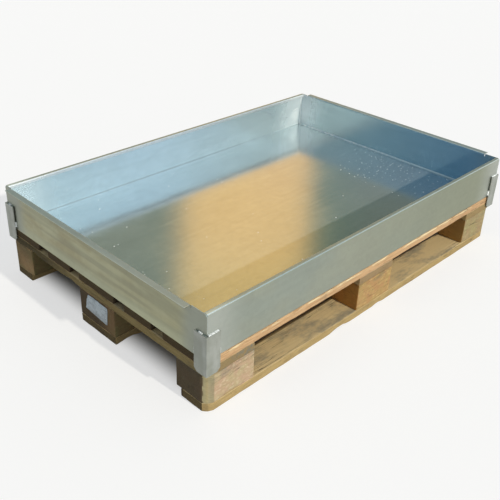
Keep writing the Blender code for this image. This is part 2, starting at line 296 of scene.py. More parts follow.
def floor_specks(look):
    """1 on the bright specks of the tray's floor, which crowd by the right end."""
    x, y, z = look.split(look.point)
    cells = look.cells(look.placed(), SPECK_CELLS, voronoi_dimensions="2D")
    _, draw_kept, draw_size = look.split(cells["Color"])
    away = look.most(
        look.unsigned(look.minus(x, SPECK_CROWD[0])), look.unsigned(look.minus(y, SPECK_CROWD[1]))
    )
    share = look.plus(
        look.remap(away, 0.04, 0.20, SPECK_SHARE_CROWD, SPECK_SHARE),
        look.remap(x, -0.48, -0.28, SPECK_SHARE_LEFT, 0.0),
    )
    size = look.add_share(look.times(draw_size, draw_size), 0.075, 0.095)
    near = look.remap(look.math("DIVIDE", cells["Distance"], size), 0.75, 1.05, 1.0, 0.0)
    on_floor = look.below(look.unsigned(look.minus(z, TRAY_FLOOR)), 0.0004)
    return look.times(look.below(draw_kept, share), near, on_floor)


def zinc_sheet(name, across, outer_level, outer_tone):
    """Galvanized sheet whose outer faces, past a level on one axis, are duller than its inner ones and
    painted darker, a painted reflection of dark ground.
    """
    look = Look(name)
    x, y, z = look.split(look.point)
    beyond = look.unsigned({"X": x, "Y": y}[across])
    underside = look.below(z, TRAY_FLOOR - SHEET / 2)
    rim_top = look.above(z, TRAY_TOP - RIM_TOP_DEPTH)
    outer = look.most(look.above(beyond, outer_level), underside, rim_top)
    inner = look.minus(1.0, outer)
    upward = look.remap(look.split(look.normal)[2], 0.5, 0.9)

    spangle = look.split(look.cells(look.placed(), 85.0)["Color"])[0]
    fine = look.noise(look.placed(), 900.0, 2.0)
    cloud = look.noise(look.placed(), 7.0, 4.0, 0.6)
    rolling = {"Y": (3.0, 90.0, 90.0), "X": (90.0, 3.0, 90.0)}[across]
    rolled = look.noise(look.placed(rolling), 1.0, 3.0, 0.6)
    tone = 1.0
    for texture, share in ((spangle, 0.05), (cloud, 0.20), (rolled, 0.14), (fine, 0.08)):
        tone = look.sway(texture, share, tone)

    inner_zinc = INNER_ZINC
    if across == "X":
        inner_zinc = look.mix(look.remap(y, -0.30, 0.30, 1.0, 0.0), INNER_ZINC, INNER_ZINC_BLUE)
        inner_zinc = look.mix(look.remap(y, -0.39, -0.31, 0.8, 0.0), inner_zinc, INNER_ZINC_DULL)
    color = look.mix(outer, inner_zinc, outer_tone(look, x, y, z))
    # Painted reflection: upward outer faces, the rim tops and flange tops, get a paler sky-coloured zinc
    color = look.mix(look.times(outer, upward), color, FLANGE_PAINTED_SKY_REFLECTION[across])
    color = painted_edge_highlights(look, across, color, outer)
    dull = outer
    if across == "Y":
        lip = look.times(look.below(beyond, RIM_LIP), look.above(z, TRAY_TOP - RIM_LIP_DEPTH))
        color = look.mix(look.times(lip, look.minus(1.0, rim_top)), color, LIP_ZINC)
        dull = look.most(outer, look.times(lip, LIP_DULLNESS))
    grey = look.node("ShaderNodeCombineColor", {0: tone, 1: tone, 2: tone}).outputs[0]
    color = look.mix(1.0, color, grey, "MULTIPLY")

    spray = weld_spray(look, across, inner)
    color = look.mix(spray, color, SPRAY[across])
    matte = spray
    if across == "Y":
        speck = floor_specks(look)
        color = look.mix(speck, fold_seam(look, color), SPECK)
        matte = look.most(spray, speck)

    metallic = look.blend(matte, look.blend(dull, INNER_METAL[across], OUTER_METAL), SPRAY_METAL)
    rough = look.sway(cloud, 0.06, look.blend(dull, INNER_ROUGHNESS, OUTER_ROUGHNESS))
    rough = look.blend(matte, look.sway(rolled, 0.05, rough), SPRAY_ROUGHNESS)
    height = look.add_share(fine, 0.25, look.times(spangle, 0.2))
    height = look.add_share(rolled, 0.6, height)
    wave = look.noise(look.placed((1.0, 1.4, 1.4)), 5.0, 1.0)
    normal = look.bump(wave, 0.00028, look.bump(height, 0.00003))
    return look.finish(Base_Color=color, Metallic=metallic, Roughness=rough, Normal=normal)


def side_tone(look, x, y, z):
    """Grey-green satin, bluer in broad clouds, more olive to the right and paler by the corners."""
    cloud = look.noise(look.placed((1.0, 1.0, 2.0), (3.1, 0, 0)), 4.0, 3.0)
    tone = look.mix(look.remap(cloud, 0.35, 0.65), OUTER_ZINC, OUTER_ZINC_BLUE)
    tone = look.mix(look.remap(x, -0.35, 0.50), tone, OUTER_ZINC_OLIVE)
    corner = look.remap(look.unsigned(x), HALF_LENGTH - 0.13, HALF_LENGTH - 0.01, 0.0, 0.75)
    return look.mix(corner, tone, OUTER_ZINC_CORNER)


def end_tone(look, x, y, z):
    """Olive zinc in soft level bands with brown clouds.

    It has painted shade under the flange, is paler at the bottom and greyer towards both corners.
    """
    band = look.noise(look.placed((1.0, 0.9, 20.0), (0, 0.7, 0.3)), 3.0, 2.0, 0.5)
    cloud = look.noise(look.placed((1.0, 1.0, 2.4), (0, 0.2, 0.9)), 8.0, 4.0, 0.6)
    brown = look.times(look.remap(cloud, 0.42, 0.64), look.remap(y, -0.25, 0.15, 0.20, 0.48))
    tone = look.mix(brown, END_ZINC, END_ZINC_BROWN)
    tone = look.mix(look.remap(band, 0.40, 0.60, 0.0, 0.46), tone, END_ZINC_BAND_AND_PAINTED_SHADE)
    # Painted shade: a darker band under the flange
    tone = look.mix(look.remap(z, 0.240, 0.256, 0.0, 0.40), tone, END_ZINC_BAND_AND_PAINTED_SHADE)
    tone = look.mix(look.remap(z, 0.152, 0.185, 0.55, 0.0), tone, END_ZINC_PALE)
    return look.mix(look.remap(look.unsigned(y), 0.300, 0.355), tone, END_ZINC_CORNER)


def zinc_angle():
    look = Look("zinc_angle")
    cloud = look.noise(look.placed(), 22.0, 4.0, 0.6)
    fine = look.noise(look.placed(), 700.0, 3.0)
    drip = look.noise(look.placed((60.0, 60.0, 9.0)), 1.0, 3.0)
    mixed = look.sway(drip, 0.6, cloud)
    color = look.mix(look.remap(mixed, 0.3, 0.75), (0.31, 0.325, 0.28), (0.42, 0.435, 0.40))
    rough = look.remap(fine, 0.3, 0.7, 0.42, 0.56)
    normal = look.bump(look.add_share(fine, 0.3, cloud), 0.0002)
    return look.finish(Base_Color=color, Metallic=0.62, Roughness=rough, Normal=normal)


def zinc_weld():
    look = Look("zinc_weld")
    lump = look.noise(look.placed(), 330.0, 2.0, 0.6)
    color = look.mix(look.remap(lump, 0.40, 0.56), (0.50, 0.53, 0.52), (0.94, 0.96, 0.95))
    rough = look.remap(lump, 0.3, 0.7, 0.55, 0.38)
    return look.finish(Base_Color=color, Metallic=0.25, Roughness=rough, Normal=look.bump(lump, 0.0008))


def zinc_seam():
    """Seam bead: bright and speckled up the corners, duller across the floor, above all towards the front,
    where the dimming is painted shade.
    """
    look = Look("zinc_seam")
    _, y, _ = look.split(look.point)
    lump = look.noise(look.placed(), 170.0, 3.0, 0.65)
    upright = look.remap(look.unsigned(y), 0.386, 0.391)
    # Painted shade: the bright bead fades towards the front
    bright = look.times(look.remap(lump, 0.42, 0.60), look.remap(y, -0.22, 0.38, 0.06, 1.0))
    bright = look.most(bright, upright)
    # Painted shade: the plain bead is darker towards the front
    plain = look.mix(look.remap(y, -0.30, -0.12, 1.0, 0.0), (0.33, 0.44, 0.50), (0.17, 0.25, 0.30))
    return look.finish(
        Base_Color=look.mix(bright, plain, (0.90, 0.94, 0.94)), Metallic=look.blend(bright, 0.80, 0.2),
        Roughness=look.blend(bright, 0.30, 0.5), Normal=look.bump(lump, 0.0006),
    )


# Light, middle and dark tone of each kind of wood
WOOD_TONES = {
    "deck": ((0.68, 0.445, 0.24), (0.55, 0.33, 0.165), (0.29, 0.16, 0.07)),
    "board": ((0.60, 0.45, 0.20), (0.47, 0.345, 0.15), (0.25, 0.175, 0.08)),
    "block": ((0.56, 0.41, 0.22), (0.45, 0.31, 0.155), (0.25, 0.16, 0.08)),
}
WOOD_PINK = (0.58, 0.365, 0.22)
BOARD_TOP_PAINTED_SUN = (0.80, 0.63, 0.34)
WOOD_STAIN = (0.15, 0.135, 0.105)
WOOD_GREY = (0.225, 0.215, 0.17)
WOOD_SPLINTER = (0.92, 0.78, 0.48)
WOOD_CRACK = (0.05, 0.035, 0.02)
END_GRAIN = (0.20, 0.13, 0.065)
GROWTH_RING = (0.0045, 0.0065)

# Shades by which single pieces differ from their kind
PIECE_TINT = {
    "block_left_front": (1.0, 1.10, 1.22),
    "block_middle_front": (0.90, 0.84, 0.62),
    "block_right_front": (0.72, 0.82, 0.74),
    "stringer_board_left": (0.90, 0.92, 0.97),
    "stringer_board_middle": (1.0, 0.98, 1.12),
}
CUT_CORNER = (0.50, 0.41, 0.215)
BLOCK_EDGE = (0.31, 0.255, 0.14)
# Painted shadow of the deck on the front bottom board's rear edge
PAINTED_DECK_SHADOW = (0.075, 0.045, 0.012)
BOARD_FRONT_TINT = (0.86, 0.84, 0.84)

# Painted shade and dirt on the pallet's short ends, which lie in shade, as the share of the wood's own
# lightness that is left, and its tint
END_SHADE_AND_DIRT = {"block_left_rear": 1.35, "block_left_middle": 0.30, "block_left_front": 0.36}
END_SHADE_AND_DIRT_KIND = {"deck": 0.20, "board": 0.46, "block": 0.55}
END_SHADE_AND_DIRT_TINT = {"deck": (1.0, 1.0, 0.62), "board": (1.0, 0.98, 0.86), "block": (1.0, 0.98, 0.86)}

# Painted shade, as the same kind of shares, for faces inside the openings
OPENING_PAINTED_SHADE_TINT = (1.6, 1.20, 0.70)
INWARD_PAINTED_SHADE = (0.44, 0.50, 0.38)
DECK_GAP_PAINTED_SHADE = (0.12, 0.12, 0.12)

# Changes of that painted shade and dirt on single pieces of the left end
STRINGER_END_LIGHTER = (1.6, 1.6, 1.6)
STRINGER_END_DARKER = (0.34, 0.34, 0.27)
MIDDLE_BLOCK_END_LIGHTER = (2.3, 2.25, 2.1)
REAR_BLOCK_END_DARKER = (0.50, 0.56, 0.52)


class Wood:
    """What the parts of one piece's wood share: its look, places, draws and stretched directions."""

    def __init__(self, name, node, kind, axis, seed):
        self.look = look = Look(name)
        self.node, self.kind, self.axis = node, kind, axis
        draw = random.Random(seed)
        self.offset = Vector([draw.uniform(-9, 9) for _ in range(3)])
        self.pith_across = draw.uniform(-0.35, 0.35)
        self.pith_low = draw.uniform(-0.16, -0.03)
        self.ring_width = draw.uniform(*GROWTH_RING)
        self.lengthwise = {"X": (0.16, 1.0, 1.0), "Y": (1.0, 0.16, 1.0)}[axis]
        self.halfway = {"X": (0.5, 1.0, 1.0), "Y": (1.0, 0.5, 1.0)}[axis]
        self.x, self.y, self.z = look.split(look.point)
        self.facing = look.split(look.normal)
        sideways = look.unsigned(self.facing[0])
        self.sideways = look.remap(sideways, 0.5, 0.8)
        self.outermost = look.remap(look.unsigned(self.x), HALF_LENGTH - 0.008, HALF_LENGTH - 0.003)
        self.short_end = look.times(self.sideways, self.outermost, look.remap(sideways, 0.78, 0.92))
        self.frontward = look.remap(self.facing[1], -0.8, -0.6, 1.0, 0.0)

    def grain(self, along, beside, turn, *texture):
        """A noise scaled along and beside the grain, and moved by a multiple of the piece's offset."""
        scale = [along if s < 1 else beside for s in self.lengthwise]
        return self.look.noise(self.look.placed(scale, self.offset * turn), *texture)


def growth_rings(wood):
    """Waves round a pith that lies outside the piece."""
    look = wood.look
    across = wood.y if wood.axis == "X" else wood.x
    warp, warp_up = (look.minus(wood.grain(0.16, 1.0, turn, 9.0, 3.0), 0.5) for turn in (1, 2))
    u = look.add_share(warp, 0.11, look.minus(across, wood.pith_across))
    v = look.add_share(warp_up, 0.08, look.minus(wood.z, wood.pith_low))
    radius = look.math("SQRT", look.plus(look.times(u, u), look.times(v, v)))
    return look.remap(look.math("SINE", look.times(radius, 2 * math.pi / wood.ring_width)), -0.2, 1.0)


def bare_wood(wood, ring, fibre, patch):
    """The colour of the clean wood: sawn boards, or pressed chips for the blocks."""
    look = wood.look
    light, mid, dark = WOOD_TONES[wood.kind]
    if wood.kind == "block":
        chip = look.split(look.cells(look.placed((1.0, 1.0, 1.6), wood.offset), 120.0)["Color"])
        pressed = look.noise(look.placed(offset=wood.offset * 9), 26.0, 4.0, 0.65)
        color = look.mix(look.remap(pressed, 0.40, 0.62), light, WOOD_PINK)
        color = look.mix(look.remap(chip[0], 0.2, 1.0, 0.0, 0.28), color, mid)
        color = look.mix(look.remap(chip[1], 0.70, 1.00, 0.0, 0.22), color, WOOD_SPLINTER)
        color = look.mix(look.remap(fibre, 0.52, 0.80, 0.0, 0.25), color, dark)
    else:
        fade = look.remap(wood.grain(0.16, 1.0, 7, 16.0, 2.0), 0.40, 0.62, 0.12, 0.5)
        color = look.mix(look.times(ring, fade), light, mid)
        color = look.mix(look.remap(fibre, 0.46, 0.78, 0.0, 0.5), color, dark)
        color = look.mix(look.remap(patch, 0.46, 0.70, 0.0, 0.7), color, mid)
    grit = look.noise(look.placed(wood.halfway, wood.offset * 6), 130.0, 4.0, 0.7)
    return look.mix(look.remap(grit, 0.52, 0.74, 0.0, 0.45), color, dark)


def weathered(wood, color):
    """Grey stains, mould on boards and blocks, painted sunlight on the boards' tops, and light splinters
    along the deck's upper edges.
    """
    look = wood.look
    stretch = (0.55, 0.55, 1.0) if wood.axis == "X" else (1.0, 0.5, 1.0)
    stain = look.noise(look.placed(stretch, wood.offset * 5), 15.0, 5.0, 0.68)
    color = look.mix(look.remap(stain, 0.55, 0.74, 0.0, 0.50), color, WOOD_STAIN)
    if wood.kind == "deck":
        splinter = wood.grain(0.16, 1.0, 4, 80.0, 4.0, 0.7)
        edge = look.remap(wood.z, DECK_TOP - 0.008, DECK_TOP - 0.003)
        edge = look.times(edge, look.remap(wood.facing[2], 0.75, 0.95, 1.0, 0.0))
        return look.mix(look.times(look.remap(splinter, 0.46, 0.56, 0.0, 0.85), edge), color, WOOD_SPLINTER)
    mould = look.noise(look.placed(wood.halfway, wood.offset * 4), 34.0, 5.0, 0.74)
    if wood.kind == "board":
        top = look.remap(wood.facing[2], 0.6, 0.9)
        # Painted sunlight: the boards' upward faces are painted lighter
        color = look.mix(look.times(top, 0.70), color, BOARD_TOP_PAINTED_SUN)
        cluster = look.noise(look.placed(wood.halfway, wood.offset * 4), 13.0, 5.0, 0.62)
        cluster = look.sway(mould, 0.35, cluster)
        mould = look.times(look.remap(cluster, 0.44, 0.66, 0.0, 0.72), top)
    else:
        mould = look.times(look.remap(mould, 0.46, 0.66, 0.0, 0.62), look.remap(wood.z, 0.066, 0.096))
    return look.mix(mould, color, WOOD_GREY)


def painted_shade_and_dirt(wood, color):
    """Painted shade and dirt on the short ends, and painted shade on the faces that look into the openings.
    """
    look = wood.look
    left = END_SHADE_AND_DIRT.get(wood.node, END_SHADE_AND_DIRT_KIND[wood.kind])
    # Painted shade and dirt: the short ends are made darker, and one block lighter
    color = look.tint(wood.short_end, color, tuple(left * share for share in END_SHADE_AND_DIRT_TINT[wood.kind]))
    within = look.remap(look.unsigned(wood.y), HALF_WIDTH - 0.010, HALF_WIDTH - 0.004, 1.0, 0.0)
    inward = look.times(look.remap(look.unsigned(wood.facing[1]), 0.5, 0.8), within)
    if wood.kind == "block":
        # Painted shade on block faces that look into the openings
        color = look.tint(inward, color, INWARD_PAINTED_SHADE)
        hidden = look.times(wood.sideways, look.minus(1.0, wood.outermost))
        # Painted shade tint on the blocks' side faces inside the openings
        color = look.tint(hidden, color, OPENING_PAINTED_SHADE_TINT)
    elif wood.kind == "deck":
        hidden = look.times(inward, look.remap(look.unsigned(wood.x), 0.44, 0.54))
        # Painted shade in the gaps between the deck boards near the ends
        color = look.tint(hidden, color, DECK_GAP_PAINTED_SHADE)
    return color


def own_marks(wood, color):
    """Marks, painted shade and a painted shadow that single pieces have in places of their own."""
    look, node, x, y, z = wood.look, wood.node, wood.x, wood.y, wood.z
    if node == "stringer_board_left":
        # A change of the painted shade and dirt: lighter towards the front, darker towards the rear
        lighter_end = look.times(wood.short_end, look.remap(y, -0.25, 0.32, 1.0, 0.0))
        color = look.tint(lighter_end, color, STRINGER_END_LIGHTER)
        darker_end = look.times(wood.short_end, look.remap(y, 0.05, 0.34))
        color = look.tint(darker_end, color, STRINGER_END_DARKER)
        mould = look.noise(look.placed(offset=wood.offset * 4), 150.0, 5.0, 0.7)
        mould = look.times(look.remap(mould, 0.44, 0.60, 0.0, 0.8), look.remap(x, -0.550, -0.485))
        color = look.mix(look.times(mould, wood.frontward), color, WOOD_GREY)
    elif node.startswith("bottom"):
        color = look.tint(wood.frontward, color, BOARD_FRONT_TINT)
        if node == "bottom_board_front":
            # Painted shadow: the deck's shadow on the board's rear edge
            deck_shadow = look.times(look.remap(y, -0.3245, -0.3195), look.remap(x, -0.10, 0.10, 0.85, 0.0))
            color = look.mix(deck_shadow, color, PAINTED_DECK_SHADOW)
    elif node == "block_left_front":
        edge = look.remap(look.unsigned(wood.facing[0]), 0.80, 0.92, 1.0, 0.0)
        edge = look.times(edge, look.remap(x, -0.5785, -0.5755, 1.0, 0.0), 0.75)
        worn = look.mix(look.remap(wood.facing[1], -1.0, -0.70), BLOCK_EDGE, CUT_CORNER)
        color = look.mix(edge, color, worn)
    elif node == "block_left_middle":
        # A change of the painted shade and dirt: lighter at the front
        lighter_end = look.times(wood.short_end, look.remap(y, -0.060, 0.0, 1.0, 0.0))
        color = look.tint(lighter_end, color, MIDDLE_BLOCK_END_LIGHTER)
    elif node == "block_left_rear":
        # A change of the painted shade and dirt: darker up high and at the rear
        darker_end = look.most(look.remap(z, 0.035, 0.095, 0.0, 0.9), look.remap(y, 0.34, 0.395, 0.0, 0.9))
        color = look.tint(look.times(wood.short_end, darker_end), color, REAR_BLOCK_END_DARKER)
    return color


def wood_finish(name, node, kind, axis, seed):
    """Sawn softwood with growth rings, knots, cracks, weather and darker end grain."""
    wood = Wood(name, node, kind, axis, seed)
    look = wood.look
    dark = WOOD_TONES[kind][2]
    ring = growth_rings(wood)
    fibre = wood.grain(14.0, 420.0, 1, 1.0, 3.0, 0.6)
    patch = wood.grain(0.16, 1.0, 3, 12.0, 4.0, 0.6)
    color = weathered(wood, bare_wood(wood, ring, fibre, patch))

    knots = look.cells(look.placed(wood.halfway, wood.offset), 7.0)
    knot = look.remap(knots["Distance"], 0.055, 0.11, 0.85, 0.0)
    knot_kept = look.above(look.split(knots["Color"])[0], 0.72)
    color = look.mix(look.times(knot, knot_kept), color, dark)
    crack = wood.grain(3.0, 70.0, 8, 1.0, 2.0, 0.5)
    crack = look.remap(look.unsigned(look.minus(crack, 0.56)), 0.0, 0.010, 0.8, 0.0)
    crack = look.times(crack, look.remap(patch, 0.44, 0.56))
    color = look.mix(crack, color, WOOD_CRACK)
    end = look.remap(look.unsigned(wood.facing["XYZ".index(axis)]), 0.55, 0.85, 0.0, 0.62)
    color = look.mix(end, color, look.mix(ring, END_GRAIN, dark))

    color = own_marks(wood, painted_shade_and_dirt(wood, color))
    if node in PIECE_TINT:
        color = look.tint(1.0, color, PIECE_TINT[node])
    height = look.add_share(ring, 0.35, look.times(fibre, 0.9))
    height = look.minus(height, look.times(crack, 1.2))
    rough = look.remap(fibre, 0.3, 0.7, 0.72, 0.9)
    return look.finish(
        Base_Color=color, Metallic=0.0, Roughness=rough, Specular_IOR_Level=0.25,
        Normal=look.bump(height, 0.0006),
    )


def rusty_nail():
    look = Look("rusty_nail")
    spot = look.noise(look.placed(), 900.0, 3.0)
    color = look.mix(look.remap(spot, 0.35, 0.65), (0.09, 0.075, 0.065), (0.24, 0.17, 0.12))
    return look.finish(Base_Color=color, Metallic=0.6, Roughness=0.6)


def torn_paper():
    look = Look("torn_paper")
    crease = look.noise(look.placed(), 70.0, 4.0, 0.6)
    dirt = look.noise(look.placed((1, 1, 1), (2, 1, 0)), 45.0, 4.0, 0.6)
    fold = look.noise(look.placed((1, 0.6, 1.6), (5, 1, 0), (0.6, 0, 0)), 55.0, 2.0, 0.5)
    fold = look.remap(look.unsigned(look.minus(fold, 0.5)), 0.0, 0.03, 0.55, 0.0)
    color = look.mix(look.remap(dirt, 0.46, 0.72, 0.0, 0.7), (0.74, 0.82, 0.86), (0.45, 0.50, 0.52))
    color = look.mix(fold, color, (0.30, 0.36, 0.40))
    return look.finish(Base_Color=color, Metallic=0.0, Roughness=0.75, Normal=look.bump(crease, 0.001))


def show(mesh_name, bm, finish, smooth=True):
    mesh = bpy.data.meshes.new(mesh_name)
    bm.to_mesh(mesh)
    bm.free()
    mesh.materials.append(finish)
    made = bpy.data.objects.new(mesh_name, mesh)
    bpy.context.scene.collection.objects.link(made)
    if smooth:
        mesh.shade_smooth()
    return made


# Worn wood, in metres: grid, rounded edges, chips broken out of the edges and sawn surface
GRID_ALONG, GRID_BESIDE = 0.016, 0.009
GRID_EDGES = (0.0022, 0.0055)
EDGE_RADIUS, EDGE_RADIUS_WEAR = 0.0012, 0.0022
CHIP_LENGTH, CHIP_DEPTH, CHIP_WIDTH = (0.008, 0.030), (0.0015, 0.0045), 0.008
SURFACE_ROUGHNESS = 0.00035
SURFACE_DEPTH = 0.0035
GRAIN_STRETCH = 0.12
SHARP_ANGLE = math.radians(40)


def grid_lines(low, high, step, edges):
    """Grid positions from low to high, closer together at both ends."""
    size = high - low
    count = max(1, round((size - 2 * edges[-1]) / step))
    inner = [edges[-1] + (size - 2 * edges[-1]) * i / count for i in range(1, count)]
    return [low + d for d in (0.0, *edges, *inner, *(size - e for e in reversed(edges)), size)]


def gridded_box(lines):
    """A closed box whose six faces are divided at the given positions on each axis."""
    bm = bmesh.new()
    made = {}

    def vertex(i, j, k):
        key = (i, j, k)
        if key not in made:
            made[key] = bm.verts.new((lines[0][i], lines[1][j], lines[2][k]))
        return made[key]

    counts = [len(line) for line in lines]
    for fixed in range(3):
        a, b = [n for n in range(3) if n != fixed]
        for end in (0, counts[fixed] - 1):
            for p in range(counts[a] - 1):
                for q in range(counts[b] - 1):
                    corners = []
                    for dp, dq in ((0, 0), (1, 0), (1, 1), (0, 1)):
                        index = [0, 0, 0]
                        index[fixed], index[a], index[b] = end, p + dp, q + dq
                        corners.append(vertex(*index))
                    bm.faces.new(corners)
    bmesh.ops.recalc_face_normals(bm, faces=bm.faces)
    return bm


def worn_wood(node, axis, seed, chips, finish):
    """A sawn piece in its node's box, with rounded uneven edges, chips and a surface along the grain."""
    draw = random.Random(seed)
    low, high = (Vector(v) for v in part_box(node))
    centre, half = (low + high) / 2, (high - low) / 2
    steps = [GRID_ALONG if name == axis else GRID_BESIDE for name in "XYZ"]
    bm = gridded_box([grid_lines(low[i], high[i], steps[i], GRID_EDGES) for i in range(3)])

    long_axis = "XYZ".index(axis)
    broken = []
    for _ in range(chips):
        place = Vector([draw.choice((low[n], high[n])) for n in range(3)])
        place[long_axis] = draw.uniform(low[long_axis], high[long_axis])
        broken.append((place, draw.uniform(*CHIP_LENGTH), draw.uniform(*CHIP_DEPTH)))
    drawn_out = Vector([GRAIN_STRETCH if n == long_axis else 1.0 for n in range(3)])
    shift = Vector((seed * 1.7, seed * 0.9, seed * 2.3))
    for v in bm.verts:
        p = v.co.copy()
        across_grain = Vector([p[n] * drawn_out[n] for n in range(3)])
        wear = noise.noise(p * 26 + shift)
        radius = EDGE_RADIUS + EDGE_RADIUS_WEAR * max(0.0, wear + 0.25)
        out = Vector([p[n] - centre[n] for n in range(3)])
        over = Vector([max(0.0, abs(out[n]) - (half[n] - radius)) for n in range(3)])
        if over.length > radius:
            pull = over.normalized() * (over.length - radius)
            p -= Vector([math.copysign(pull[n], out[n]) for n in range(3)])
        rough = SURFACE_ROUGHNESS * (noise.noise(across_grain * 95 + shift) + 1) * 0.5
        for place, length, depth in broken:
            offset = p - place
            along = abs(offset[long_axis]) / length
            offset[long_axis] = 0
            beside = offset.length / CHIP_WIDTH
            if along < 1 and beside < 1:
                rough += depth * (1 - along * along) * (1 - beside)
        for n in range(3):
            if abs(abs(out[n]) - half[n]) < SURFACE_DEPTH:
                p[n] -= math.copysign(rough, out[n])
        beyond = abs(p.x) - HALF_LENGTH + abs(p.y) - HALF_WIDTH + CORNER_CUT
        if beyond > 0:
            p.x -= math.copysign(beyond / 2, p.x)
            p.y -= math.copysign(beyond / 2, p.y)
        v.co = p
    piece = show("worn_" + node, bm, finish)
    piece.data.set_sharp_from_angle(angle=SHARP_ANGLE)
    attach(piece, "pallet")
    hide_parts(node)
    {"deck": "deck_wood", "block": "block_wood"}.get(node.split("_")[0], "board_wood")


def dress_wood():
    wooden = sorted(n for n in NODES if n.split("_")[0] in ("bottom", "block", "stringer", "deck"))
    for seed, node in enumerate(wooden, 1):
        first = node.split("_")[0]
        kind = {"deck": "deck", "block": "block"}.get(first, "board")
        axis = "Y" if first == "stringer" else "X"
        chips = 3 if first == "block" else 9
        worn_wood(node, axis, seed, chips, wood_finish("wood_" + node, node, kind, axis, seed))


# Nails: head radii, sides of a head, and where each sits from the middle of a crossing
NAIL_RADIUS = 0.0042
SMALL_NAIL_RADIUS = 0.0022
NAIL_SIDES = 10
DECK_NAILS = ((-0.030, -1), (0.034, 1), (0.012, 0))
DECK_NAIL_SPREAD = 0.28
BOTTOM_NAILS = ((-0.034, -0.022), (0.030, 0.024), (0.0, -0.002))
BLOCK_NAILS = ((-0.026, 0.052), (-0.008, 0.060))


def nail_heads(name, places, normal, finish, body="pallet"):
    """Slightly domed round heads, each a little proud of the face it is driven into."""
    bm = bmesh.new()
    normal = Vector(normal)
    turn = normal.to_track_quat("Z", "Y").to_matrix().to_4x4()
    for place, size in places:
        base = Matrix.Translation(place) @ turn
        rings = []
        for radius, height in ((size, -0.0008), (size, 0.0001), (size * 0.7, 0.0004)):
            ring = []
            for k in range(NAIL_SIDES):
                angle = 2 * math.pi * k / NAIL_SIDES
                point = Vector((radius * math.cos(angle), radius * math.sin(angle), height))
                ring.append(bm.verts.new(base @ point))
            rings.append(ring)
        for lower, upper in zip(rings, rings[1:]):
            for k in range(NAIL_SIDES):
                n = (k + 1) % NAIL_SIDES
                bm.faces.new((lower[k], lower[n], upper[n], upper[k]))
        bm.faces.new(rings[-1])
        bm.faces.new(list(reversed(rings[0])))
    piece = show(name, bm, finish)
    piece.data.set_sharp_from_angle(angle=SHARP_ANGLE)
    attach(piece, body)


def drive_nails():
    finish = rusty_nail()
    draw = random.Random(41)
    deck, bottom = [], []
    stringers = [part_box(f"stringer_board_{c}") for c in ("left", "middle", "right")]
    columns = [(low[0] + high[0]) / 2 for low, high in stringers]
    for row in ("front", "front_inner", "middle", "rear_inner", "rear"):
        low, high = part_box(f"deck_board_{row}")
        spread = (high[1] - low[1]) * DECK_NAIL_SPREAD
        for x in columns:
            for dx, way in DECK_NAILS:
                y = (low[1] + high[1]) / 2 + way * spread + draw.uniform(-0.006, 0.006)
                place = Vector((x + dx + draw.uniform(-0.008, 0.008), y, high[2] - 0.0004))
                deck.append((place, NAIL_RADIUS))
    for row in ("front", "middle", "rear"):
        low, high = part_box(f"bottom_board_{row}")
        for x in columns:
            for dx, dy in BOTTOM_NAILS:
                y = (low[1] + high[1]) / 2 + dy + draw.uniform(-0.004, 0.004)
                bottom.append((Vector((x + dx, y, low[2] + 0.0012)), NAIL_RADIUS))
    sides = [(Vector((x, -HALF_WIDTH + 0.0006, z)), SMALL_NAIL_RADIUS) for x, z in BLOCK_NAILS]
    nail_heads("nails_deck", deck, (0, 0, 1), finish)
    nail_heads("nails_bottom", bottom, (0, 0, -1), finish)
    nail_heads("nails_middle_block", sides, (0, -1, 0), finish)


# Corners of the torn label, across and up, and what its torn edge and its paper vary by
LABEL_OUTLINE = (
    (0.0335, 0.0972), (0.0165, 0.0968), (-0.0025, 0.0972), (-0.0188, 0.0955), (-0.0455, 0.0945),
    (-0.0445, 0.0735), (-0.0405, 0.0425), (0.0027, 0.0470), (0.0475, 0.0510), (0.0423, 0.0780),
)
LABEL_STEPS = 6
LABEL_TEAR = 0.0007
LABEL_LIFT = 0.0003
PAPER = 0.0003


def torn_label():
    """A blank torn paper on the middle block of the left end."""
    draw = random.Random(7)
    rim = []
    for (y0, z0), (y1, z1) in zip(LABEL_OUTLINE, LABEL_OUTLINE[1:] + LABEL_OUTLINE[:1]):
        for step in range(LABEL_STEPS):
            t = step / LABEL_STEPS
            y = y0 + (y1 - y0) * t + draw.uniform(-LABEL_TEAR, LABEL_TEAR)
            z = z0 + (z1 - z0) * t + draw.uniform(-LABEL_TEAR, LABEL_TEAR)
            rim.append((y, z))
    bm = bmesh.new()
    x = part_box("block_left_middle")[0][0]
    face = bm.faces.new([bm.verts.new((x, y, z)) for y, z in rim])
    bmesh.ops.triangulate(bm, faces=[face])
    bmesh.ops.subdivide_edges(bm, edges=bm.edges[:], cuts=2, use_grid_fill=True)
    for v in bm.verts:
        v.co.x -= LABEL_LIFT + LABEL_LIFT * (noise.noise(v.co * 60) + 1)
    piece = show("torn_label", bm, torn_paper())
    thickness = piece.modifiers.new("paper", "SOLIDIFY")
    thickness.thickness = PAPER
    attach(piece, "pallet")


# Radii of the steel's rounded edges
SHEET_EDGE = 0.0004
ANGLE_EDGE = 0.0006


